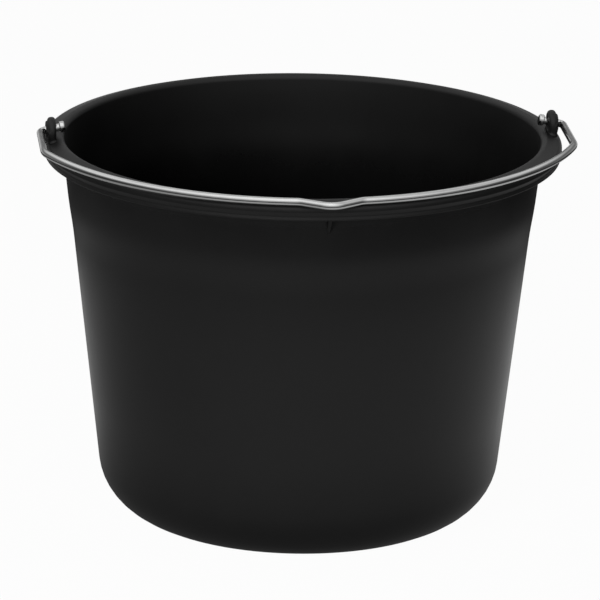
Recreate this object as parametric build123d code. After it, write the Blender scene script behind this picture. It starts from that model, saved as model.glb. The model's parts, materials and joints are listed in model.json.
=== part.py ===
from build123d import *
import os
from math import asin, cos, degrees, radians, sin, sqrt, tan

# A moulded builder's bucket with a bent wire bail. Millimetres, +Z up, standing on z = 0.
# The ears are on +X and -X, and the bail lies forward, over the rim at -Y.

# Wall: a straight cone on a well rounded foot, with a collar a little proud above a soft step
foot_radius = 141.7
wall_slope = 0.1098
wall_thickness = 2.0
floor_thickness = 2.6
foot_edge = 43.0
foot_edge_inside = 40.7
collar_proud = 1.0
step_low = 217.8
step_high = 227.8
inner_step_low = 226.2
inner_step_high = 246.2
step_softness = 5.0

# Rim: a flange that falls to its rounded outer edge and turns down into a beaded skirt;
# rim_top is its height at the outer edge
rim_top = 278.3
rim_fall = 0.29
rim_radius = 186.5
rim_thickness = 2.5
rim_edge = 4.0
rim_edge_inside = 4.5
rim_edge_depth = 4.0
skirt_low = 268.1
skirt_thickness = 2.5
skirt_waist = 184.9
skirt_waist_height = 271.2
waist_softness = 1.5
bead_radius = 185.6
bead_height = 269.1
bead_softness = 0.7
channel_softness = 2.0

# Webs between the wall and the skirt, one at the front and one at the back
web_width = 2.4
web_below_skirt = 12.5
web_toe = 0.4
web_sunk = 0.8

# Ears: domed plates on the rim, each with a boss round its hole
ear_inner_face = 177.8
ear_thickness = 6.0
ear_width = 22.0
ear_height = 17.5
ear_edge = 2.6
hole_radius = 5.0
hole_height = 7.9
drill_overrun = 0.5
boss_radius = 6.8
boss_proud = 1.2
boss_edge = 0.8

# Bail: one round wire, flat in its own plane but for its ends, which slope up through the ears
wire_radius = 2.75
pivot_height = 8.8
leg_offset = 188.8
corner_radius = 4.2
shoulder_radius = 30.0
bow_radius = 202.0
bow_crown = 185.0
kink_slope = 32.0
kink_apex_radius = 13.0
kink_foot_radius = 12.0
kink_joins_bow_at = 7.0
head_radius = 4.1
head_length = 4.0
head_edge = 1.3
neck_length = 3.0
end_slope = 11.5
rest_gap = 0.3


def wall_radius(height):
    """Radius of the cone's outer face at a height, below the collar."""
    return foot_radius + wall_slope * height


def rim_height(radius):
    """Height of the flange's top face at a radius."""
    return rim_top + rim_fall * (rim_radius - radius)


def collar_meets_rim(inset, depth):
    """Radius where the collar's face, set in by an inset, is a depth under the flange's top face."""
    reach = foot_radius + collar_proud - inset + wall_slope * (rim_top + rim_fall * rim_radius - depth)
    return reach / (1 + wall_slope * rim_fall)


def corner(sketch, radius, height):
    """The vertex of a profile nearest to a point given by radius and height."""
    return sketch.vertices().sort_by_distance((radius, 0, height))[0]


# Profile of the body, walked up the outside, over the rim and down the inside
inside = wall_thickness * sqrt(1 + wall_slope**2)
collar_top = collar_meets_rim(0, rim_thickness)
rim_inside = collar_meets_rim(inside, 0)
skirt_inside = rim_radius - skirt_thickness
outline = [
    (0, 0),
    (foot_radius, 0),
    (wall_radius(step_low), step_low),
    (wall_radius(step_high) + collar_proud, step_high),
    (collar_top, rim_height(collar_top) - rim_thickness),
    (skirt_inside, rim_height(skirt_inside) - rim_thickness),
    (bead_radius - skirt_thickness, skirt_low),
    (bead_radius, skirt_low),
    (bead_radius, bead_height),
    (skirt_waist, skirt_waist_height),
    (rim_radius, rim_top - rim_edge_depth),
    (rim_radius, rim_top),
    (rim_inside, rim_height(rim_inside)),
    (wall_radius(inner_step_high) + collar_proud - inside, inner_step_high),
    (wall_radius(inner_step_low) - inside, inner_step_low),
    (wall_radius(floor_thickness) - inside, floor_thickness),
    (0, floor_thickness),
]
profile = Plane.XZ * make_face(Polyline(outline, close=True))
rounded_corners = [
    (outline[1], foot_edge),
    (outline[2], step_softness),
    (outline[3], step_softness),
    (outline[4], channel_softness),
    (outline[5], channel_softness),
    (outline[7], bead_softness),
    (outline[8], bead_softness),
    (outline[9], waist_softness),
    (outline[11], rim_edge),
    (outline[12], rim_edge_inside),
    (outline[13], step_softness),
    (outline[14], step_softness),
    (outline[15], foot_edge_inside),
]
for point, radius in rounded_corners:
    profile = fillet(corner(profile, *point), radius)
body = revolve(profile, Axis.Z)

# Webs in the channel under the rim, a quarter turn from the ears
web_low = skirt_low - web_below_skirt
web_wall = wall_radius(web_low) + collar_proud
web_skirt = bead_radius - skirt_thickness + web_sunk
web_outline = [
    (web_wall - web_sunk, web_low),
    (web_wall + web_toe, web_low),
    (web_skirt, skirt_low + web_sunk),
    (web_skirt, rim_height(web_skirt) - rim_thickness / 2),
    outline[4],
]
web = extrude(Plane.XZ * make_face(Polyline(web_outline, close=True)), web_width / 2, both=True)
body += Rot(0, 0, -90) * web
body += Rot(0, 0, 90) * web

# One ear, with its boss, then its twin on the other side
dome_radius = ear_width / 2
dome_height = rim_top + ear_height - dome_radius
ear_foot = rim_height(ear_inner_face + ear_thickness / 2) - rim_thickness / 2
ear_sides = Polyline(
    (dome_radius, dome_height),
    (dome_radius, ear_foot),
    (-dome_radius, ear_foot),
    (-dome_radius, dome_height),
)
ear_dome = ThreePointArc(ear_sides @ 1, (0, dome_height + dome_radius), ear_sides @ 0)
ear_face = make_face([*ear_sides.edges(), *ear_dome.edges()])
ear_plate = extrude(Plane.YZ.offset(ear_inner_face) * ear_face, ear_thickness)
side_edges = ear_plate.faces().filter_by(Axis.X).edges()
standing_edges = side_edges.filter_by(lambda edge: edge.center().Z > rim_height(ear_inner_face))
ear_plate = fillet(standing_edges, ear_edge)
hole_centre = rim_top + hole_height
boss_face = Plane.YZ.offset(ear_inner_face + ear_thickness / 2)
boss = extrude(boss_face * Pos(0, hole_centre) * Circle(boss_radius), ear_thickness / 2 + boss_proud)
boss = fillet(boss.edges().sort_by(Axis.X)[-1], boss_edge)
drill_face = Plane.YZ.offset(ear_inner_face - drill_overrun)
drill_length = ear_thickness + boss_proud + 2 * drill_overrun
drill = extrude(drill_face * Pos(0, hole_centre) * Circle(hole_radius), drill_length)
ear = ear_plate + boss
for side in (0, 180):
    body += Rot(0, 0, side) * ear
for side in (0, 180):
    body -= Rot(0, 0, side) * drill
body.label = "bucket_body"

# Half of the bail's centre line, from the kink's apex to the head, in the bail's own plane:
# x across the bucket, y from the pivot line towards the middle of the bail
slope = radians(kink_slope)
joins = radians(kink_joins_bow_at)
kink_reach = kink_apex_radius * sin(slope) + kink_foot_radius * (sin(slope) - sin(joins))
arm_length = (bow_radius * sin(joins) - kink_reach) / cos(slope)
kink_drop = kink_apex_radius * (1 - cos(slope)) + kink_foot_radius * (cos(joins) - cos(slope))
kink_drop += arm_length * sin(slope)
apex_reach = bow_crown - bow_radius * (1 - cos(joins)) + kink_drop
bow_end = degrees(asin((leg_offset - shoulder_radius) / (bow_radius - shoulder_radius)))
head_inner_end = ear_inner_face - neck_length - head_length

apex = JernArc((0, apex_reach), (1, 0), kink_apex_radius, -kink_slope)
arm = Line(apex @ 1, apex @ 1 + arm_length * (apex % 1))
foot = JernArc(arm @ 1, arm % 1, kink_foot_radius, kink_slope - kink_joins_bow_at)
bow = JernArc(foot @ 1, foot % 1, bow_radius, kink_joins_bow_at - bow_end)
shoulder = JernArc(bow @ 1, bow % 1, shoulder_radius, bow_end - 90)
leg = Line(shoulder @ 1, (leg_offset, corner_radius))
corner_bend = JernArc(leg @ 1, (0, -1), corner_radius, -90)
stub = Line(corner_bend @ 1, (head_inner_end + head_length / 2, 0))

# The end slopes up to its head: its bend and its stub are turned about the line of the leg
end_turn = Pos(leg_offset, 0, 0) * Rot(0, -end_slope, 0) * Pos(-leg_offset, 0, 0)
wire_end = [end_turn * edge for edge in (*corner_bend.edges(), *stub.edges())]
centre_line = Wire([*apex.edges(), *arm.edges(), *foot.edges(), *bow.edges(), *shoulder.edges(),
                    *leg.edges(), *wire_end])
wire_start = Plane(origin=(0, apex_reach, 0), x_dir=(0, 1, 0), z_dir=(1, 0, 0))
half_bail = sweep(wire_start * Circle(wire_radius), path=centre_line)

# The upset head on the wire's end, inside the ear
head = extrude(Plane.YZ.offset(head_inner_end) * Circle(head_radius), head_length)
head = fillet(head.edges(), head_edge)
half_bail += end_turn * head
bail = half_bail + mirror(half_bail, about=Plane.YZ)

# Lay the bail forward until its wire is a hair above the rim's outer edge
edge_centre_radius = rim_radius - rim_edge
touching = rim_edge + wire_radius + rest_gap
edge_centre_height = rim_height(edge_centre_radius) - rim_edge * sqrt(1 + rim_fall**2)
crown_height = edge_centre_height + sqrt(touching**2 - (bow_crown - edge_centre_radius) ** 2)
pivot = rim_top + pivot_height
hole_middle = ear_inner_face + (ear_thickness + boss_proud) / 2
bail_height = pivot - (leg_offset - hole_middle) * tan(radians(end_slope))
tilt = asin((bail_height - crown_height) / bow_crown)
bail_plane = Plane(
    origin=(0, 0, bail_height),
    x_dir=(1, 0, 0),
    z_dir=(0, sin(tilt), -cos(tilt)),
)
bail = bail_plane * bail
bail.label = "bail"

os.makedirs("parts", exist_ok=True)
export_step(body, "parts/bucket_body.step")
export_step(bail, "parts/bail.step")
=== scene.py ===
import json
import bpy
import numpy as np
from mathutils import Euler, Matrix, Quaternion, Vector


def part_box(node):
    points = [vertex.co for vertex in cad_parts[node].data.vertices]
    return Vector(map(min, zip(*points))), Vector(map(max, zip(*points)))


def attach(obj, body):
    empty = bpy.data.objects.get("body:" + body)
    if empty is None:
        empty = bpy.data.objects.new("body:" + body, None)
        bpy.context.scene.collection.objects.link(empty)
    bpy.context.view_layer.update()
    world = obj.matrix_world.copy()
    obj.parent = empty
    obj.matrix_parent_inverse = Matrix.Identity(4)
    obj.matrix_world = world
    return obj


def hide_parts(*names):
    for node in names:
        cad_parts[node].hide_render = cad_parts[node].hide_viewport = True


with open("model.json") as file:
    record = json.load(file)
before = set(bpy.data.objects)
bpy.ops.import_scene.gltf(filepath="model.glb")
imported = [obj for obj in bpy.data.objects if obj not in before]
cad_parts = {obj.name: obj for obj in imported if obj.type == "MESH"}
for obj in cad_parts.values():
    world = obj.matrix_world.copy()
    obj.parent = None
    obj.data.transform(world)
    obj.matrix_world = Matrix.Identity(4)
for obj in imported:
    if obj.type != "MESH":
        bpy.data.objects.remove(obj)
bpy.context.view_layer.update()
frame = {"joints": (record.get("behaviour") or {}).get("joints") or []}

# Bucket shell
# The body is one thin-walled black injection moulding: a drafted cone on a well rounded foot, with a
# collar a little proud above a soft step, and a flange that turns down into a beaded skirt.
# It is turned here from its section. Sizes are in millimetres, and MM brings them to metres.
MM = 0.001
FOOT_RADIUS = 141.7
FOOT_EDGE = 43.0
FOOT_EDGE_INSIDE = 40.7
WALL_SLOPE = 0.1098
WALL_THICKNESS = 2.0
FLOOR_THICKNESS = 2.6
COLLAR_PROUD = 1.0
OUTER_STEP = (212.8, 232.8)
INNER_STEP = (226.2, 246.2)
STEP_SOFTNESS = 300.0
RIM_RADIUS = float(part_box("bucket_body")[1][0]) / MM
RIM_TOP = 278.3
RIM_FALL = 0.29
RIM_THICKNESS = 2.5
RIM_EDGE = 4.0
RIM_EDGE_INSIDE = 4.5
RIM_EDGE_DEPTH = 4.0
RIM_EDGE_FOOT = 1.0
SKIRT_LOW = 268.1
SKIRT_THICKNESS = 2.5
SKIRT_WAIST = (184.9, 271.2)
WAIST_SOFTNESS = 1.5
BEAD = (185.6, 269.1)
BEAD_SOFTNESS = 0.7
CHANNEL_SOFTNESS = 2.0
ARC_STEP = 7.0
ARC_POINTS_LEAST = 5
SHELL_SPACING = 12.0
SHELL_SEGMENTS = 320


def wall_radius(height):
    """Radius of the cone's outer face: the foot's radius plus the slope times the height."""
    return FOOT_RADIUS + WALL_SLOPE * height


def rim_height(radius):
    """Height of the flange's top face: it falls with the radius to RIM_TOP at the outer edge."""
    return RIM_TOP + RIM_FALL * (RIM_RADIUS - radius)


def collar_meets_rim(inset, depth):
    """Radius where the collar's face, set in by an inset, is a depth under the flange's sloping top."""
    reach = FOOT_RADIUS + COLLAR_PROUD - inset + WALL_SLOPE * (RIM_TOP + RIM_FALL * RIM_RADIUS - depth)
    return reach / (1 + WALL_SLOPE * RIM_FALL)


def rounded(corners):
    """A line through corners (x, y, radius), each cut off by the arc of its radius that touches both sides.

    The arc's centre lies on the corner's bisector. Its points are about ARC_STEP degrees apart, and closer
    on a short arc, which has ARC_POINTS_LEAST."""
    corners = np.array(corners, float)
    points = [corners[:1, :2]]
    for before, here, after in zip(corners[:-2], corners[1:-1], corners[2:]):
        way_in = (before[:2] - here[:2]) / np.linalg.norm(before[:2] - here[:2])
        way_out = (after[:2] - here[:2]) / np.linalg.norm(after[:2] - here[:2])
        half = np.arccos(np.clip(way_in @ way_out, -1, 1)) / 2
        middle = (way_in + way_out) / np.linalg.norm(way_in + way_out)
        centre = here[:2] + middle * here[2] / np.sin(half)
        start = here[:2] + way_in * here[2] / np.tan(half) - centre
        end = here[:2] + way_out * here[2] / np.tan(half) - centre
        sweep = np.arctan2(start[0] * end[1] - start[1] * end[0], start @ end)
        count = max(ARC_POINTS_LEAST, int(np.degrees(abs(sweep)) / ARC_STEP) + 1)
        angle = np.linspace(0, sweep, count)[:, None]
        square_to_start = np.array([-start[1], start[0]])
        points.append(centre + start * np.cos(angle) + square_to_start * np.sin(angle))
    points.append(corners[-1:, :2])
    return np.concatenate(points)


def filled(line, spacing):
    """The line with points put in evenly along its straight stretches, so that no step exceeds spacing."""
    stretch = np.diff(line, axis=0)
    counts = np.ceil(np.linalg.norm(stretch, axis=1) / spacing).astype(int)
    index = np.repeat(np.arange(len(counts)), counts)
    part = (np.arange(len(index)) - np.repeat(np.cumsum(counts) - counts, counts)) / counts[index]
    return np.concatenate([line[index] + part[:, None] * stretch[index], line[-1:]])


def grid_faces(rows, columns, close_rows=False, close_columns=False):
    """Quads of a grid of points numbered row by row, joined round where a direction closes on itself."""
    row = np.arange(rows if close_rows else rows - 1)[:, None]
    column = np.arange(columns if close_columns else columns - 1)[None, :]
    next_row = (row + 1) % rows
    next_column = (column + 1) % columns
    corners = [row * columns + column, row * columns + next_column]
    corners += [next_row * columns + next_column, next_row * columns + column]
    quads = np.stack([np.broadcast_to(corner, (row.size, column.size)) for corner in corners], -1)
    return quads.reshape(-1, 4).tolist()


def make_piece(name, points, faces, material, body, node, dull=0.0):
    """A smooth mesh object at the origin, its points in millimetres, riding on a body for a CAD node.

    Each point keeps how dull its surface is, from nought to one."""
    mesh = bpy.data.meshes.new(name)
    mesh.from_pydata((points * MM).tolist(), [], faces)
    mesh.polygons.foreach_set("use_smooth", np.ones(len(mesh.polygons), bool))
    dullness = np.broadcast_to(dull, len(mesh.vertices)).astype(np.float32)
    mesh.attributes.new("dull", "FLOAT", "POINT").data.foreach_set("value", dullness)
    mesh.materials.append(material)
    mesh.update()
    piece = bpy.data.objects.new(name, mesh)
    bpy.context.scene.collection.objects.link(piece)
    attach(piece, body)
    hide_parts(node)
    return piece


def level_rings(radius, height, segments):
    """Points of level circles about the bucket's axis, ring by ring: the radius times the cosine and the
    sine of each angle, at the ring's height."""
    turn = np.linspace(0, 2 * np.pi, segments, endpoint=False)
    across, along = radius[:, None] * np.cos(turn), radius[:, None] * np.sin(turn)
    return np.stack(np.broadcast_arrays(across, along, height[:, None]), -1).reshape(-1, 3)


def turned(section, segments):
    """A section of (radius, height) carried round the axis, with both its ends closed on the axis.

    Rows run up the outside and columns anticlockwise, so that the quads look outwards."""
    radius, height = section[1:-1].T
    rings = level_rings(radius, height, segments)
    poles = [[0, 0, section[0, 1]], [0, 0, section[-1, 1]]]
    here = np.arange(segments)
    after = (here + 1) % segments
    last = (len(height) - 1) * segments
    bottom = np.stack([np.full(segments, len(rings)), after, here], -1).tolist()
    inside = np.stack([np.full(segments, len(rings) + 1), last + here, last + after], -1).tolist()
    faces = grid_faces(len(height), segments, close_columns=True) + bottom + inside
    return np.concatenate([rings, poles]), faces


def linear(code):
    """Linear colour of an sRGB hex code, opaque: the darkest values are divided by 12.92, and the others
    are raised to the power 2.4 after 0.055 is added and the sum divided by 1.055."""
    srgb = np.array([int(code[i:i + 2], 16) for i in (1, 3, 5)]) / 255
    flat = np.where(srgb <= 0.04045, srgb / 12.92, ((srgb + 0.055) / 1.055) ** 2.4)
    return (*flat.tolist(), 1.0)


def add_node(tree, kind, inputs=None, **settings):
    """Adds a node, sets its properties, and fills its inputs with values or with other nodes' outputs."""
    made = tree.nodes.new(kind)
    for name, value in settings.items():
        setattr(made, name, value)
    for socket, value in (inputs or {}).items():
        if isinstance(value, bpy.types.NodeSocket):
            tree.links.new(value, made.inputs[socket])
        else:
            made.inputs[socket].default_value = value
    return made


def per_metre(size_mm):
    """Scale of a texture whose pattern repeats about every size_mm: one over that size in metres."""
    return 1 / (size_mm * MM)


# Black polypropylene, straight from a lightly grained steel mould. It looks nearly black face on, and
# goes grey only where it is seen at a shallow angle. Faint draw marks run up the wall, the gloss comes
# and goes in soft clouds, and the rim and the ears are duller than the wall.
# The grain is drawn coarser than the real one so that it shows.
BLACK_DEEP = "#0d0d0d"
BLACK_PALE = "#121212"
POLYPROPYLENE_IOR = 1.44
CLOUD_MM = 55.0
CLOUD_ROUGHNESS = (0.17, 0.23)
DRAW_MARK_MM = 5.0
DRAW_MARK_STRETCH = 0.04
DRAW_MARK_ROUGHNESS = 0.06
DULL_ROUGHNESS = 0.2
DULL_FROM = 260.0
DULL_FROM_INSIDE = 200.0
PEEL_MM = 9.0
PEEL_DEPTH = 0.05
PEEL_STRENGTH = 0.25
GRAIN_MM = 1.6
GRAIN_DEPTH = 0.03
GRAIN_STRENGTH = 0.35
# Most of a noise's values lie in this span
NOISE_SPAN = (0.3, 0.7)
polypropylene = bpy.data.materials.new("black_polypropylene_moulded")
polypropylene.use_nodes = True
tree = polypropylene.node_tree
shader = tree.nodes["Principled BSDF"]
shader.inputs["IOR"].default_value = POLYPROPYLENE_IOR
place = add_node(tree, "ShaderNodeTexCoord").outputs["Object"]
cloud = add_node(tree, "ShaderNodeTexNoise", {"Vector": place, "Scale": per_metre(CLOUD_MM), "Detail": 4.0})
drawn_place = add_node(tree, "ShaderNodeMapping", {"Vector": place, "Scale": (1.0, 1.0, DRAW_MARK_STRETCH)})
draw_marks = add_node(tree, "ShaderNodeTexNoise", {
    "Vector": drawn_place.outputs["Vector"], "Scale": per_metre(DRAW_MARK_MM), "Detail": 3.0})
grain = add_node(tree, "ShaderNodeTexNoise", {"Vector": place, "Scale": per_metre(GRAIN_MM), "Detail": 2.0})
peel = add_node(tree, "ShaderNodeTexNoise", {"Vector": place, "Scale": per_metre(PEEL_MM), "Detail": 2.0})
tint = add_node(tree, "ShaderNodeMix", {
    "Factor": cloud.outputs["Fac"], "A": linear(BLACK_DEEP), "B": linear(BLACK_PALE)}, data_type="RGBA")
tree.links.new(tint.outputs["Result"], shader.inputs["Base Color"])
cloud_gloss = add_node(tree, "ShaderNodeMapRange", {
    "Value": cloud.outputs["Fac"],
    "From Min": NOISE_SPAN[0], "From Max": NOISE_SPAN[1],
    "To Min": CLOUD_ROUGHNESS[0], "To Max": CLOUD_ROUGHNESS[1]})
wall_gloss = add_node(tree, "ShaderNodeMath", {
    0: draw_marks.outputs["Fac"], 1: DRAW_MARK_ROUGHNESS, 2: cloud_gloss.outputs["Result"],
}, operation="MULTIPLY_ADD")
dull = add_node(tree, "ShaderNodeAttribute", attribute_name="dull")
gloss = add_node(tree, "ShaderNodeMath", {
    0: dull.outputs["Fac"], 1: DULL_ROUGHNESS, 2: wall_gloss.outputs["Value"],
}, operation="MULTIPLY_ADD")
tree.links.new(gloss.outputs["Value"], shader.inputs["Roughness"])
peel_bump = add_node(tree, "ShaderNodeBump", {
    "Height": peel.outputs["Fac"], "Strength": PEEL_STRENGTH, "Distance": PEEL_DEPTH * MM})
grain_bump = add_node(tree, "ShaderNodeBump", {
    "Height": grain.outputs["Fac"], "Strength": GRAIN_STRENGTH, "Distance": GRAIN_DEPTH * MM,
    "Normal": peel_bump.outputs["Normal"]})
tree.links.new(grain_bump.outputs["Normal"], shader.inputs["Normal"])

wall_across = WALL_THICKNESS * np.sqrt(1 + WALL_SLOPE**2)
collar_top = collar_meets_rim(0, RIM_THICKNESS)
rim_inside = collar_meets_rim(wall_across, 0)
skirt_inside = RIM_RADIUS - SKIRT_THICKNESS
shell_section = filled(rounded([
    (0, 0, 0),
    (FOOT_RADIUS, 0, FOOT_EDGE),
    (wall_radius(OUTER_STEP[0]), OUTER_STEP[0], STEP_SOFTNESS),
    (wall_radius(OUTER_STEP[1]) + COLLAR_PROUD, OUTER_STEP[1], STEP_SOFTNESS),
    (collar_top, rim_height(collar_top) - RIM_THICKNESS, CHANNEL_SOFTNESS),
    (skirt_inside, rim_height(skirt_inside) - RIM_THICKNESS, CHANNEL_SOFTNESS),
    (BEAD[0] - SKIRT_THICKNESS, SKIRT_LOW, BEAD_SOFTNESS),
    (BEAD[0], SKIRT_LOW, BEAD_SOFTNESS),
    (*BEAD, BEAD_SOFTNESS),
    (*SKIRT_WAIST, WAIST_SOFTNESS),
    (RIM_RADIUS, RIM_TOP - RIM_EDGE_DEPTH, RIM_EDGE_FOOT),
    (RIM_RADIUS, RIM_TOP, RIM_EDGE),
    (rim_inside, rim_height(rim_inside), RIM_EDGE_INSIDE),
    (wall_radius(INNER_STEP[1]) + COLLAR_PROUD - wall_across, INNER_STEP[1], STEP_SOFTNESS),
    (wall_radius(INNER_STEP[0]) - wall_across, INNER_STEP[0], STEP_SOFTNESS),
    (wall_radius(FLOOR_THICKNESS) - wall_across, FLOOR_THICKNESS, FOOT_EDGE_INSIDE),
    (0, FLOOR_THICKNESS, 0),
]), SHELL_SPACING)
shell_points, shell_faces = turned(shell_section, SHELL_SEGMENTS)
# The rim is the dullest, and the wall grows dull towards it, more gradually inside than outside
on_inside = np.arange(len(shell_section)) > np.argmax(shell_section[:, 1])
dull_from = np.where(on_inside, DULL_FROM_INSIDE, DULL_FROM)
section_dull = np.clip((shell_section[:, 1] - dull_from) / (SKIRT_LOW - dull_from), 0, 1)
shell_dull = np.concatenate([np.repeat(section_dull[1:-1], SHELL_SEGMENTS), section_dull[[0, -1]]])
make_piece("bucket_shell", shell_points, shell_faces, polypropylene,
           "bucket", "bucket_body", dull=shell_dull)

# Ears
# Two domed plates stand on the flange, moulded in one with it, with a round boss on the outside.
# A hole wider than the wire goes through plate and boss, and the foot runs out into the flange.
EAR_INNER_FACE = 177.8
EAR_THICKNESS = 6.0
EAR_HALF_WIDTH = 11.0
EAR_TOP = float(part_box("bucket_body")[1][2]) / MM
EAR_EDGE = 2.6
EAR_BASE = rim_height(EAR_INNER_FACE + EAR_THICKNESS / 2)
EAR_FOOT_FLARE = 1.6
EAR_FOOT_CORNER = 0.2
EAR_SUNK = 1.4
HOLE_RADIUS = 5.0
HOLE_ABOVE_RIM = 7.9
HOLE_HEIGHT = RIM_TOP + HOLE_ABOVE_RIM
HOLE_EDGE = 0.5
BOSS_RADIUS = 6.8
BOSS_PROUD = 1.2
BOSS_EDGE = 0.8
BOSS_FOOT = 0.5
EAR_SEGMENTS = 192
EAR_ROUND_POINTS = 7
EAR_FACE_POINTS = 4
EAR_RIM_POINTS = 3
NEARLY_NOUGHT = 1e-6
# Radius and height of the middle of the arc that rounds the flange's outer edge
RIM_EDGE_MIDDLE = RIM_RADIUS - RIM_EDGE
RIM_EDGE_HEIGHT = rim_height(RIM_EDGE_MIDDLE) - RIM_EDGE * np.sqrt(1 + RIM_FALL**2)


def flange_top(radius):
    """Height of the flange: its sloping top, or the round of its outer edge where that is lower."""
    past = np.clip(radius - RIM_EDGE_MIDDLE, 0, RIM_EDGE)
    sloping = past < RIM_EDGE * RIM_FALL / np.sqrt(1 + RIM_FALL**2)
    return np.where(sloping, rim_height(radius), RIM_EDGE_HEIGHT + np.sqrt(RIM_EDGE**2 - past**2))


def steps_between(count):
    """Shares of a way at evenly spaced points, without its two ends."""
    return np.linspace(0, 1, count + 2)[1:-1]


def ear_surface():
    """An ear as a ring round its hole: at each angle a closed loop runs out over the inner face, round
    the rim of the plate, back over the outer face and the boss, and home through the hole.

    The loop's outer end is where the ray from the hole's centre meets the dome, a side or the foot."""
    turn = np.linspace(0, 2 * np.pi, EAR_SEGMENTS, endpoint=False)
    side, up = np.sin(turn), np.cos(turn)
    dome = EAR_TOP - EAR_HALF_WIDTH - HOLE_HEIGHT
    to_dome = dome * up + np.sqrt(np.maximum(EAR_HALF_WIDTH**2 - (dome * side) ** 2, 0))
    to_side = EAR_HALF_WIDTH / np.maximum(np.abs(side), NEARLY_NOUGHT)
    to_foot = (HOLE_HEIGHT - EAR_BASE + EAR_SUNK) / np.maximum(-up, NEARLY_NOUGHT)
    reach = np.where(to_dome * up >= dome, to_dome, np.minimum(to_side, to_foot))[:, None]
    # The plate's edges are round, but not where its foot is sunk in the flange
    edge = np.where((to_foot < to_side) & (up < 0), EAR_FOOT_CORNER, EAR_EDGE)[:, None]
    quarter = np.linspace(0, np.pi / 2, EAR_ROUND_POINTS)
    rise, run = 1 - np.cos(quarter), np.sin(quarter)
    face_steps, rim_steps = steps_between(EAR_FACE_POINTS), steps_between(EAR_RIM_POINTS)
    outer_face = EAR_INNER_FACE + EAR_THICKNESS
    boss_face = outer_face + BOSS_PROUD
    hole_length = boss_face - EAR_INNER_FACE - 2 * HOLE_EDGE
    hole_round = HOLE_RADIUS + HOLE_EDGE * (1 - run)
    face_start = HOLE_RADIUS + HOLE_EDGE
    boss_start = BOSS_RADIUS + BOSS_FOOT
    level = np.ones((EAR_SEGMENTS, EAR_FACE_POINTS))
    ring = np.ones((EAR_SEGMENTS, 1))
    # Each stretch of the loop, as its distance from the hole's centre and its place along x: the hole's
    # inner edge, the inner face, the plate's inner edge, rim and outer edge, the outer face, the boss's
    # foot and edge, the hole's outer edge, and the hole's wall
    stretches = [
        (ring * hole_round[::-1], ring * (EAR_INNER_FACE + HOLE_EDGE * (1 - run))),
        (face_start + (reach - edge - face_start) * face_steps, level * EAR_INNER_FACE),
        (reach + edge * (run - 1), EAR_INNER_FACE + edge * rise),
        (reach + 0 * rim_steps, EAR_INNER_FACE + edge + (EAR_THICKNESS - 2 * edge) * rim_steps),
        (reach + edge * (run[::-1] - 1), outer_face - edge * rise[::-1]),
        (reach - edge + (boss_start - reach + edge) * face_steps, level * outer_face),
        (ring * (BOSS_RADIUS + BOSS_FOOT * rise[::-1]), ring * (outer_face + BOSS_FOOT * rise)),
        (ring * (BOSS_RADIUS - BOSS_EDGE * rise), ring * (boss_face - BOSS_EDGE * (1 - run))),
        (ring * hole_round, ring * (boss_face - HOLE_EDGE * rise)),
        (level * HOLE_RADIUS, ring * (boss_face - HOLE_EDGE - hole_length * face_steps)),
    ]
    out, x = (np.concatenate(parts, 1) for parts in zip(*stretches))
    points = np.stack([x, out * side[:, None], HOLE_HEIGHT + out * up[:, None]], -1)
    # Below the hole the plate leans with the flange, so its foot is sunk by the same depth all over
    hole_low = HOLE_HEIGHT - HOLE_RADIUS
    below = np.clip((hole_low - points[..., 2]) / (hole_low - EAR_BASE + EAR_SUNK), 0, 1)
    points[..., 2] += below * RIM_FALL * (EAR_INNER_FACE + EAR_THICKNESS / 2 - points[..., 0])
    # The sides spread in a quarter round: the nearer a point is to the flange, the further it moves out
    above = points[..., 2] - flange_top(np.hypot(points[..., 0], points[..., 1]))
    near = np.clip(1 - above / EAR_FOOT_FLARE, 0, 1)
    spread = EAR_FOOT_FLARE * (1 - np.sqrt(1 - near**2))
    beside_hole = np.clip((np.abs(points[..., 1]) - HOLE_RADIUS) / (EAR_HALF_WIDTH - HOLE_RADIUS), 0, 1)
    points[..., 1] += spread * beside_hole * np.sign(points[..., 1])
    return points.reshape(-1, 3), grid_faces(*out.shape, close_rows=True, close_columns=True)


def moulded_pair(names, points, faces):
    """A dull piece of the body and its twin: half a turn about the bucket's axis reverses x and y."""
    for name, way in zip(names, (1, -1)):
        make_piece(name, points * (way, way, 1), faces, polypropylene,
                   "bucket", "bucket_body", dull=1.0)


moulded_pair(("ear_right", "ear_left"), *ear_surface())

# Webs
# A thin web ties the skirt to the wall, a quarter turn from the ears, at the front and at the back.
# It is moulded in one with the body and runs out on the collar below the skirt.
WEB_HALF_WIDTH = 1.2
WEB_BELOW_SKIRT = 12.5
WEB_TOE = 0.4
WEB_SUNK = 0.8
WEB_ROUND = 1.1
WEB_SPACING = 1.5
WEB_SLICES = 13


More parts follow.
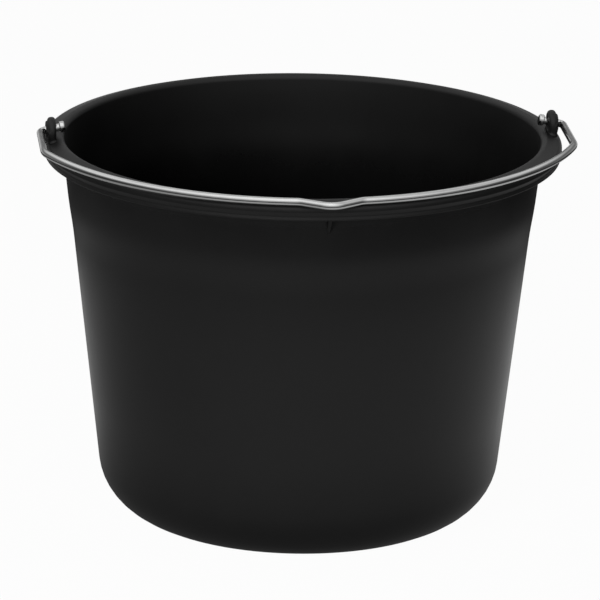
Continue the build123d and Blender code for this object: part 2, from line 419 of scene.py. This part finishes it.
def web_surface():
    """The front web: its outline at slices across its width, closed at both sides.

    Near the sides, what stands outside the wall is drawn in by a circle's fall, which rounds the edge."""
    low = SKIRT_LOW - WEB_BELOW_SKIRT
    wall = wall_radius(low) + COLLAR_PROUD
    skirt = BEAD[0] - SKIRT_THICKNESS + WEB_SUNK
    outline = np.array([
        (wall - WEB_SUNK, low),
        (wall + WEB_TOE, low),
        (skirt, SKIRT_LOW + WEB_SUNK),
        (skirt, rim_height(skirt) - RIM_THICKNESS / 2),
        (collar_top, rim_height(collar_top) - RIM_THICKNESS),
        (wall - WEB_SUNK, low),
    ])
    radius, height = filled(outline, WEB_SPACING)[:-1].T
    slices = WEB_HALF_WIDTH * np.sin(np.linspace(-np.pi / 2, np.pi / 2, WEB_SLICES))[:, None]
    past = np.clip(np.abs(slices) - WEB_HALF_WIDTH + WEB_ROUND, 0, WEB_ROUND)
    drawn_in = WEB_ROUND - np.sqrt(WEB_ROUND**2 - past**2)
    outside = np.clip((radius - wall_radius(height) - COLLAR_PROUD) / WEB_ROUND, 0, 1)
    points = np.stack(np.broadcast_arrays(slices, drawn_in * outside - radius, height), -1)
    quads = np.array(grid_faces(WEB_SLICES, len(radius), close_columns=True))[:, ::-1].tolist()
    last = (WEB_SLICES - 1) * len(radius)
    sides = [list(range(len(radius))), list(range(last, last + len(radius)))[::-1]]
    return points.reshape(-1, 3), quads + sides


moulded_pair(("web_front", "web_back"), *web_surface())

# Bail
# One galvanised steel wire, cold bent: a kink for a hook in the middle, a wide bow, two straight legs
# and a short stub through each ear, whose end is upset into a head so that it can't pull out.
WIRE_RADIUS = 2.75
PIVOT_HEIGHT = frame["joints"][0]["pos_m"][2] / MM
LEG_OFFSET = 188.8
CORNER_RADIUS = 4.2
SHOULDER_RADIUS = 30.0
BOW_RADIUS = 202.0
BOW_CROWN = 185.0
KINK_SLOPE = np.radians(32.0)
KINK_APEX_RADIUS = 13.0
KINK_FOOT_RADIUS = 12.0
KINK_JOINS_BOW = np.radians(7.0)
HEAD_RADIUS = 4.1
HEAD_LENGTH = 4.0
HEAD_EDGE = 1.3
HEAD_BACK = 0.2
HEAD_BACK_EDGE = 0.78
HEAD_BACK_FOOT = 0.15
HEAD_END_FLAT = 0.2
NECK_LENGTH = 3.0
END_SLOPE = np.radians(11.5)
REST_GAP = 0.3
WIRE_SIDES = 40
WIRE_SPACING = 3.0
WIRE_STEPS_LEAST = 2
BEND_STEP = 4.0


def bent_line(start, moves):
    """Points and headings along a wire that is fed and bent: each move is a length and the angle it turns.

    A turning move is an arc of radius length over angle, and its points follow the arc exactly."""
    here, heading = np.array(start, float), 0.0
    points, headings = [here[None]], [np.zeros(1)]
    for length, angle in moves:
        bend_steps = int(np.degrees(abs(angle)) / BEND_STEP)
        steps = max(WIRE_STEPS_LEAST, int(length / WIRE_SPACING), bend_steps)
        part = np.linspace(0, 1, steps + 1)[1:]
        turned_to = heading + part * angle
        # An arc's chord has its mean heading, and is shorter than the arc by the factor sin(a/2) / (a/2)
        chord = length * part * np.sinc(part * angle / 2 / np.pi)
        along = heading + part * angle / 2
        run = here + chord[:, None] * np.stack([np.cos(along), np.sin(along)], -1)
        points.append(run)
        headings.append(turned_to)
        here, heading = run[-1], turned_to[-1]
    return np.concatenate(points), np.concatenate(headings)


# Half of the wire's centre line, from the kink's apex to the back of the head, in the bail's own plane
kink_reach = KINK_APEX_RADIUS * np.sin(KINK_SLOPE)
kink_reach += KINK_FOOT_RADIUS * (np.sin(KINK_SLOPE) - np.sin(KINK_JOINS_BOW))
arm_length = (BOW_RADIUS * np.sin(KINK_JOINS_BOW) - kink_reach) / np.cos(KINK_SLOPE)
kink_drop = KINK_APEX_RADIUS * (1 - np.cos(KINK_SLOPE)) + arm_length * np.sin(KINK_SLOPE)
kink_drop += KINK_FOOT_RADIUS * (np.cos(KINK_JOINS_BOW) - np.cos(KINK_SLOPE))
apex_reach = BOW_CROWN - BOW_RADIUS * (1 - np.cos(KINK_JOINS_BOW)) + kink_drop
bow_end = np.arcsin((LEG_OFFSET - SHOULDER_RADIUS) / (BOW_RADIUS - SHOULDER_RADIUS))
leg_start = BOW_CROWN - BOW_RADIUS + (BOW_RADIUS - SHOULDER_RADIUS) * np.cos(bow_end)
half_points, half_headings = bent_line((0, apex_reach), [
    (KINK_APEX_RADIUS * KINK_SLOPE, -KINK_SLOPE),
    (arm_length, 0),
    (KINK_FOOT_RADIUS * (KINK_SLOPE - KINK_JOINS_BOW), KINK_SLOPE - KINK_JOINS_BOW),
    (BOW_RADIUS * (bow_end - KINK_JOINS_BOW), KINK_JOINS_BOW - bow_end),
    (SHOULDER_RADIUS * (np.pi / 2 - bow_end), bow_end - np.pi / 2),
    (leg_start - CORNER_RADIUS, 0),
    (CORNER_RADIUS * np.pi / 2, -np.pi / 2),
    (LEG_OFFSET - CORNER_RADIUS - EAR_INNER_FACE + NECK_LENGTH, 0),
])

# The head's section, from the wire's skin out over its back, round its edge and in to the end's middle
head_section = rounded([
    (0, WIRE_RADIUS, 0),
    (HEAD_BACK, WIRE_RADIUS, HEAD_BACK_FOOT),
    (HEAD_BACK, HEAD_RADIUS, HEAD_BACK_EDGE),
    (HEAD_LENGTH, HEAD_RADIUS, HEAD_EDGE),
    (HEAD_LENGTH, HEAD_END_FLAT, 0),
])
end_points = half_points[-1] - head_section[1:, :1] * (1, 0)
centre_line = np.concatenate([half_points, end_points])
headings = np.concatenate([half_headings, np.full(len(end_points), -np.pi)])
radii = np.concatenate([np.full(len(half_points), WIRE_RADIUS), head_section[1:, 1]])
# The other half mirrors this one
centre_line = np.concatenate([centre_line[:0:-1] * (-1, 1), centre_line])
headings = np.concatenate([-headings[:0:-1], headings])
radii = np.concatenate([radii[:0:-1], radii])


def bail_surface():
    """The wire's circle carried along the centre line, square to its heading, in the tilted bail plane.

    In that plane x runs across the bucket and the second axis from the pivot line to the bail's middle.
    The ends slope: past the leg, each point and its circle are turned about the line of the leg."""
    touching = RIM_EDGE + WIRE_RADIUS + REST_GAP
    crown = RIM_EDGE_HEIGHT + np.sqrt(touching**2 - (BOW_CROWN - RIM_EDGE_MIDDLE) ** 2)
    hole_middle = EAR_INNER_FACE + (EAR_THICKNESS + BOSS_PROUD) / 2
    bail_height = PIVOT_HEIGHT - (LEG_OFFSET - hole_middle) * np.tan(END_SLOPE)
    tilt = np.arcsin((bail_height - crown) / BOW_CROWN)
    across_axis = np.array([1.0, 0, 0])
    out_axis = np.array([0, -np.cos(tilt), -np.sin(tilt)])
    plane_normal = np.cross(across_axis, out_axis)
    turn = np.linspace(0, 2 * np.pi, WIRE_SIDES, endpoint=False)
    slope = np.where(centre_line[:, 1:] < CORNER_RADIUS, END_SLOPE, 0) * np.sign(centre_line[:, :1])
    turned_across = np.cos(slope) * across_axis + np.sin(slope) * plane_normal
    turned_normal = np.cos(slope) * plane_normal - np.sin(slope) * across_axis
    leg_line = np.sign(centre_line[:, :1]) * LEG_OFFSET
    middle = leg_line * across_axis + (centre_line[:, :1] - leg_line) * turned_across
    middle += centre_line[:, 1:] * out_axis + (0, 0, bail_height)
    sideways = -np.sin(headings)[:, None] * turned_across + np.cos(headings)[:, None] * out_axis
    circle = np.cos(turn)[:, None] * sideways[:, None] + np.sin(turn)[:, None] * turned_normal[:, None]
    points = middle[:, None] + radii[:, None, None] * circle
    quads = grid_faces(len(middle), WIRE_SIDES, close_columns=True)
    last = (len(middle) - 1) * WIRE_SIDES
    ends = [list(range(WIRE_SIDES))[::-1], list(range(last, last + WIRE_SIDES))]
    return points.reshape(-1, 3), quads + ends


# Galvanised steel wire: a thin bright zinc skin over drawn wire. It mirrors the room in long streaks,
# because the drawing die left fine lines along it, and the zinc is duller in small patches.
# The lines are drawn coarser than the real ones so that they show.
ZINC_GREY = "#dcdddd"
ZINC_BRIGHT = "#efefee"
ZINC_PATCH_MM = 7.0
ZINC_ROUGHNESS = (0.1, 0.2)
DIE_LINE_MM = 0.7
DIE_LINE_STRETCH = 0.02
DIE_LINE_DEPTH = 0.03
DIE_LINE_STRENGTH = 0.3
zinc = bpy.data.materials.new("galvanised_drawn_steel")
zinc.use_nodes = True
tree = zinc.node_tree
shader = tree.nodes["Principled BSDF"]
shader.inputs["Metallic"].default_value = 1.0
along_wire = add_node(tree, "ShaderNodeUVMap", uv_map="along_wire").outputs["UV"]
place = add_node(tree, "ShaderNodeTexCoord").outputs["Object"]
patches = add_node(tree, "ShaderNodeTexNoise", {
    "Vector": place, "Scale": per_metre(ZINC_PATCH_MM), "Detail": 4.0})
line_place = add_node(tree, "ShaderNodeMapping", {
    "Vector": along_wire, "Scale": (DIE_LINE_STRETCH, 1.0, 1.0)})
die_lines = add_node(tree, "ShaderNodeTexNoise", {
    "Vector": line_place.outputs["Vector"], "Scale": per_metre(DIE_LINE_MM), "Detail": 2.0})
tint = add_node(tree, "ShaderNodeMix", {
    "Factor": patches.outputs["Fac"], "A": linear(ZINC_GREY), "B": linear(ZINC_BRIGHT)}, data_type="RGBA")
tree.links.new(tint.outputs["Result"], shader.inputs["Base Color"])
gloss = add_node(tree, "ShaderNodeMapRange", {
    "Value": patches.outputs["Fac"],
    "From Min": NOISE_SPAN[0], "From Max": NOISE_SPAN[1],
    "To Min": ZINC_ROUGHNESS[0], "To Max": ZINC_ROUGHNESS[1]})
tree.links.new(gloss.outputs["Result"], shader.inputs["Roughness"])
line_bump = add_node(tree, "ShaderNodeBump", {
    "Height": die_lines.outputs["Fac"], "Strength": DIE_LINE_STRENGTH, "Distance": DIE_LINE_DEPTH * MM})
tree.links.new(line_bump.outputs["Normal"], shader.inputs["Normal"])

bail_points, bail_faces = bail_surface()
bail = make_piece("bail_wire", bail_points, bail_faces, zinc, "bail", "bail")

# The UV map runs along the wire in metres one way and round it the other
steps = np.linalg.norm(np.diff(centre_line, axis=0), axis=1)
along = np.repeat(np.concatenate([[0], np.cumsum(steps)]) * MM, WIRE_SIDES)
around = np.tile(np.arange(WIRE_SIDES) / WIRE_SIDES * 2 * np.pi * WIRE_RADIUS * MM, len(centre_line))
loops = np.zeros(len(bail.data.loops), np.int32)
bail.data.loops.foreach_get("vertex_index", loops)
wire_map = bail.data.uv_layers.new(name="along_wire")
wire_map.data.foreach_set("uv", np.stack([along, around], -1)[loops].ravel())

# Floor
# A plain white studio table that runs on well past the picture and carries the bucket's shadow.
# The camera, and whatever mirrors the table, sees it nearly white. Stage sizes are in metres.
FLOOR_HALF = 20.0
TABLE_GREY = "#cfcfcf"
TABLE_ROUGHNESS = 0.9
WHITE = "#ffffff"
WHITE_SHARE = 0.97


def sees_white(tree):
    """One where a ray comes from the camera, a mirror or a glass, and nought for light on the object."""
    rays = add_node(tree, "ShaderNodeLightPath")
    either = add_node(tree, "ShaderNodeMath", {
        0: rays.outputs["Is Camera Ray"], 1: rays.outputs["Is Glossy Ray"]}, operation="MAXIMUM")
    any_of_them = add_node(tree, "ShaderNodeMath", {
        0: either.outputs["Value"], 1: rays.outputs["Is Transmission Ray"]}, operation="MAXIMUM")
    return any_of_them.outputs["Value"]


white_table = bpy.data.materials.new("white_studio_table")
white_table.use_nodes = True
tree = white_table.node_tree
surface = tree.nodes["Principled BSDF"]
surface.inputs["Base Color"].default_value = linear(TABLE_GREY)
surface.inputs["Roughness"].default_value = TABLE_ROUGHNESS
glow = add_node(tree, "ShaderNodeEmission", {"Color": linear(WHITE), "Strength": 1.0})
share = add_node(tree, "ShaderNodeMath", {0: sees_white(tree), 1: WHITE_SHARE}, operation="MULTIPLY")
white_mix = add_node(tree, "ShaderNodeMixShader", {
    0: share.outputs["Value"], 1: surface.outputs["BSDF"], 2: glow.outputs["Emission"]})
tree.links.new(white_mix.outputs["Shader"], tree.nodes["Material Output"].inputs["Surface"])
floor_mesh = bpy.data.meshes.new("studio_floor")
floor_corners = FLOOR_HALF * np.array([(-1, -1, 0), (1, -1, 0), (1, 1, 0), (-1, 1, 0)])
floor_mesh.from_pydata(floor_corners.tolist(), [], [[0, 1, 2, 3]])
floor_mesh.materials.append(white_table)
floor = bpy.data.objects.new("studio_floor", floor_mesh)
bpy.context.scene.collection.objects.link(floor)

# Light
# A dim white room, and one soft lamp low in front on the left, which lights the upper part of the
# inside and leaves the bottom of the bucket dark. Plastic and wire don't mirror the lamp itself,
# only the glowing cove of painted reflections and the room round them, so nothing clips.
ROOM_LIGHT = 0.12
LAMP_SIZE = 0.8
LAMP_POWER = 60.0
LAMP_PLACE = Vector((-1.19, -2.06, 0.74))
LAMP_AIM = Vector((0.0, 0.0, 0.2))
world = bpy.data.worlds.new("white_room")
bpy.context.scene.world = world
world.use_nodes = True
tree = world.node_tree
room = tree.nodes["Background"]
room.inputs["Color"].default_value = linear(WHITE)
room_level = add_node(tree, "ShaderNodeMapRange", {
    "Value": sees_white(tree), "To Min": ROOM_LIGHT, "To Max": 1.0})
tree.links.new(room_level.outputs["Result"], room.inputs["Strength"])

lamp_data = bpy.data.lights.new("softbox_left", "AREA")
lamp_data.size = LAMP_SIZE
lamp_data.energy = LAMP_POWER
lamp = bpy.data.objects.new("softbox_left", lamp_data)
lamp.location = LAMP_PLACE
lamp.rotation_euler = (LAMP_AIM - LAMP_PLACE).to_track_quat("-Z", "Y").to_euler()
lamp.visible_glossy = False
bpy.context.scene.collection.objects.link(lamp)

# Grey cove
# A glowing sheet of painted reflections lies on the table round the bucket and rises in a wall 5 m off,
# seen only by what mirrors it: a grey disc, 0.6 m in radius, that paints the black wall's sheen, a dark
# band beyond it, which paints the wire's dark line, and brighter glow far off, low at the back and high in
# front.
COVE_LIFT = 0.0005
COVE_RINGS = np.array([
    # Radius and height, then the painted glow's level in front, on the right, behind and on the left
    (0.105, COVE_LIFT, 0.05, 0.08, 0.06, 0.04),
    (0.28, COVE_LIFT, 0.36, 0.42, 0.40, 0.24),
    (0.42, COVE_LIFT, 0.38, 0.42, 0.40, 0.24),
    (0.53, COVE_LIFT, 0.36, 0.38, 0.36, 0.24),
    (0.60, COVE_LIFT, 0.06, 0.24, 0.26, 0.17),
    (0.68, COVE_LIFT, 0.02, 0.08, 0.10, 0.08),
    (0.76, COVE_LIFT, 0.02, 0.02, 0.04, 0.04),
    (1.30, COVE_LIFT, 0.04, 0.02, 0.05, 0.03),
    (2.0, COVE_LIFT, 0.24, 0.03, 0.60, 0.03),
    (5.0, COVE_LIFT, 0.30, 0.03, 0.60, 0.03),
    (5.0, 0.5, 0.36, 0.04, 0.45, 0.03),
    (5.0, 1.8, 0.50, 0.10, 0.12, 0.14),
    (5.0, 4.0, 1.00, 0.55, 0.80, 0.75),
    (4.5, 8.0, 1.00, 0.50, 0.30, 0.85),
    (2.0, 11.0, 1.00, 0.80, 0.50, 1.00),
])
COVE_SEGMENTS = 96
turn = np.linspace(0, 2 * np.pi, COVE_SEGMENTS, endpoint=False)
cove_points = level_rings(*COVE_RINGS[:, :2].T, COVE_SEGMENTS)
# Each side's level counts by the square of how far a direction points that way: the squares add up to one
ways = np.stack([-np.sin(turn), np.cos(turn), np.sin(turn), -np.cos(turn)])
reflection_glow_level = (COVE_RINGS[:, 2:] @ np.clip(ways, 0, 1) ** 2).ravel()
# The glow is painted reflection: each point glows at its set level, and only mirrors see it
painted_reflection_material = bpy.data.materials.new("painted_reflection_glow")
painted_reflection_material.use_nodes = True
tree = painted_reflection_material.node_tree
level = add_node(tree, "ShaderNodeAttribute", attribute_name="level")
reflection_glow = add_node(tree, "ShaderNodeEmission", {
    "Color": linear(WHITE), "Strength": level.outputs["Fac"]})
tree.links.new(reflection_glow.outputs["Emission"], tree.nodes["Material Output"].inputs["Surface"])
cove_mesh = bpy.data.meshes.new("painted_reflection_cove")
cove_faces = grid_faces(len(COVE_RINGS), COVE_SEGMENTS, close_columns=True)
cove_mesh.from_pydata(cove_points.tolist(), [], cove_faces)
cove_mesh.attributes.new("level", "FLOAT", "POINT").data.foreach_set("value", reflection_glow_level)
cove_mesh.materials.append(painted_reflection_material)
cove = bpy.data.objects.new("painted_reflection_cove", cove_mesh)
cove.visible_camera = False
cove.visible_diffuse = False
cove.visible_shadow = False
bpy.context.scene.collection.objects.link(cove)

# Camera
# A long lens, a little to the left of the bucket's front and looking down into it. Its angles, its
# distance and its aim were fitted to the outline of the bucket in the photograph's 600-pixel frame.
FRAME_PIXELS = 600
FOCAL_PIXELS = 5000
SENSOR_MM = 36.0
VIEW_SIDE = np.radians(6.28)
VIEW_DOWN = np.radians(16.80)
VIEW_ROLL = np.radians(0.79)
DISTANCE = 3.6321
AIM = np.array([-0.0003, 0.0, 0.15602])
camera_data = bpy.data.cameras.new("product_camera")
camera_data.sensor_width = SENSOR_MM
camera_data.lens = FOCAL_PIXELS / FRAME_PIXELS * SENSOR_MM
camera = bpy.data.objects.new("product_camera", camera_data)
looking = np.array([
    np.sin(VIEW_SIDE) * np.cos(VIEW_DOWN), np.cos(VIEW_SIDE) * np.cos(VIEW_DOWN), -np.sin(VIEW_DOWN)])
camera.location = (AIM - DISTANCE * looking).tolist()
camera.rotation_mode = "QUATERNION"
upright = Euler((np.pi / 2 - VIEW_DOWN, 0, -VIEW_SIDE)).to_quaternion()
camera.rotation_quaternion = upright @ Quaternion((0, 0, 1), VIEW_ROLL)
bpy.context.scene.collection.objects.link(camera)
bpy.context.scene.camera = camera
bpy.context.scene.view_settings.view_transform = "Standard"

bpy.context.view_layer.update()
